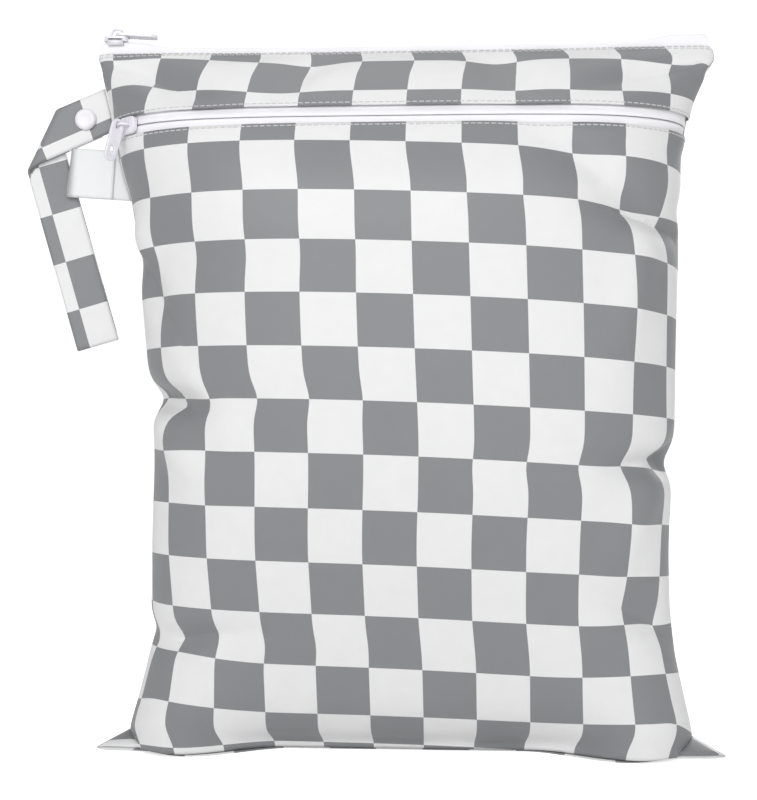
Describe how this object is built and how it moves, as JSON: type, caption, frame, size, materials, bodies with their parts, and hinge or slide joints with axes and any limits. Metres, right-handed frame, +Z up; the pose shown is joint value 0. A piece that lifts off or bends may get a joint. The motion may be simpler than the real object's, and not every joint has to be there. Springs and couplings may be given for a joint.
{
  "type": "cloth diaper wet bag",
  "caption": "Stuffed wet bag of checked coated cloth standing on its bottom seam, with a top zipper, a front pocket zipper, a snap strap loop and a blank side tag.",
  "frame": {"origin": "centre of the whole object's box on the surface it stands on, strap included", "axes": "+Z up, -Y out of the pocket front, +X toward the side without the strap"},
  "size_m": [0.3384, 0.109, 0.353],
  "materials": {
    "checked_cloth": "coated plain-weave polyester, satin",
    "zipper_tape": "woven and coated zipper tape, semi-matte",
    "zipper_coil": "moulded nylon coil",
    "lacquered_metal": "white lacquer, semi-gloss",
    "snap_resin": "moulded resin, smooth",
    "tag_satin": "woven satin tape, soft"
  },
  "bodies": {
    "bag": {"pocket_panel": "checked_cloth", "upper_front_panel": "checked_cloth", "back_panel": "checked_cloth", "pocket_zip_lower_tape": "zipper_tape", "pocket_zip_upper_tape": "zipper_tape", "pocket_zip_coil": "zipper_coil", "top_zip_front_tape": "zipper_tape", "top_zip_back_tape": "zipper_tape", "top_zip_coil": "zipper_coil", "pocket_zip_slider": "lacquered_metal", "top_zip_slider": "lacquered_metal", "strap": "checked_cloth", "snap_cap": "snap_resin", "snap_socket": "snap_resin", "side_tag": "tag_satin"},
    "pocket_pull": {"pocket_zip_pull": "lacquered_metal"},
    "top_pull": {"top_zip_pull": "lacquered_metal"}
  },
  "joints": [
    {"name": "pocket_pull_swing", "type": "hinge", "parent": "bag", "child": "pocket_pull", "pos_m": [-0.11748, -0.0228, 0.29973], "axis": [-0.7331, 0.6801, -0.0005], "range_deg": [0, 130]},
    {"name": "top_pull_swing", "type": "hinge", "parent": "bag", "child": "top_pull", "pos_m": [-0.12462, 0.0035, 0.34943], "axis": [0, -1, 0], "range_deg": [0, 150]}
  ]
}
